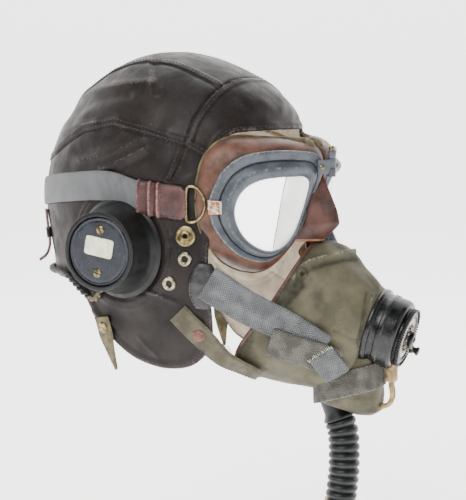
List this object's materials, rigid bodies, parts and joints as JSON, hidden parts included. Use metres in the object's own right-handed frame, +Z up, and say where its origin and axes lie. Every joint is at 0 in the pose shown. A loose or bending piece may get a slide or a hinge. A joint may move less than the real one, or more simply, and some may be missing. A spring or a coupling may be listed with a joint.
{
  "type": "leather flying helmet with goggles and oxygen mask",
  "caption": "Leather flying helmet with receiver cups, strapped-on goggles, and an oxygen mask with microphone and hose fastened at the cheeks.",
  "frame": {"origin": "highest point inside the crown, where the helmet rests on the head", "axes": "+Z up, the wearer faces -Y, +X is the wearer's left"},
  "size_m": [0.2454, 0.3186, 0.3779],
  "materials": {
    "helmet_leather": "satin, fine grain",
    "black_rubber": "satin",
    "bakelite": "polished, dusty",
    "brass": "worn",
    "steel": "worn",
    "paper": "matt paper",
    "elastic": "ribbed",
    "red_leather": "satin",
    "frame_metal": "worn semi-gloss",
    "glass": "clear",
    "pad_leather": "glossy",
    "copper": "worn, coppery",
    "mask_fabric": "rubbered cloth",
    "webbing": "woven",
    "khaki": "felted",
    "hose_rubber": "ribbed, satin",
    "cord": "braided"
  },
  "bodies": {
    "root": {"mask_body": "mask_fabric", "chin_band": "webbing", "mic_body": "bakelite", "mic_plug": "copper", "mic_lead": "cord", "hose_neck": "hose_rubber", "hose": "hose_rubber", "hose_connector": "brass", "brow_panel": "helmet_leather", "crown_side_right": "helmet_leather", "crown_side_left": "helmet_leather", "side_panel_right": "helmet_leather", "side_panel_left": "helmet_leather", "crown_strip": "helmet_leather", "ear_cup_right": "black_rubber", "ear_cup_left": "black_rubber", "receiver_cap_right": "bakelite", "receiver_cap_left": "bakelite", "cap_screw_upper_right": "brass", "cap_screw_upper_left": "brass", "cap_screw_lower_right": "brass", "cap_screw_lower_left": "brass", "cap_label_right": "paper", "press_stud_right": "brass", "press_stud_left": "brass", "eyelet_upper_right": "steel", "eyelet_upper_left": "steel", "eyelet_lower_right": "steel", "eyelet_lower_left": "steel", "goggle_strap": "elastic", "strap_end_right": "red_leather", "strap_end_left": "red_leather", "strap_ring_right": "brass", "strap_ring_left": "brass", "lens_frame_right": "frame_metal", "lens_frame_left": "frame_metal", "lens_temple_right": "glass", "lens_temple_left": "glass", "lens_nose_right": "glass", "lens_nose_left": "glass", "frame_clip_right": "copper", "frame_clip_left": "copper", "face_pad_right": "pad_leather", "face_pad_left": "pad_leather", "nose_piece": "pad_leather", "goggle_bridge": "frame_metal", "cheek_hook_right": "helmet_leather", "upper_webbing_right": "webbing", "lower_strap_right": "khaki", "strap_rivet_right": "copper", "cheek_hook_left": "helmet_leather", "upper_webbing_left": "webbing", "lower_strap_left": "khaki", "strap_rivet_left": "copper", "nape_tab_right": "red_leather", "nape_tab_left": "red_leather", "neck_tab_right": "khaki", "neck_tab_left": "khaki", "receiver_lead": "cord"},
    "switch": {"mic_switch": "bakelite"}
  },
  "joints": [
    {"name": "microphone_switch", "type": "hinge", "parent": "root", "child": "switch", "pos_m": [0.0289, -0.19285, -0.21633], "axis": [0.2474, -0.9235, -0.2932], "range_deg": [-35, 35]}
  ]
}
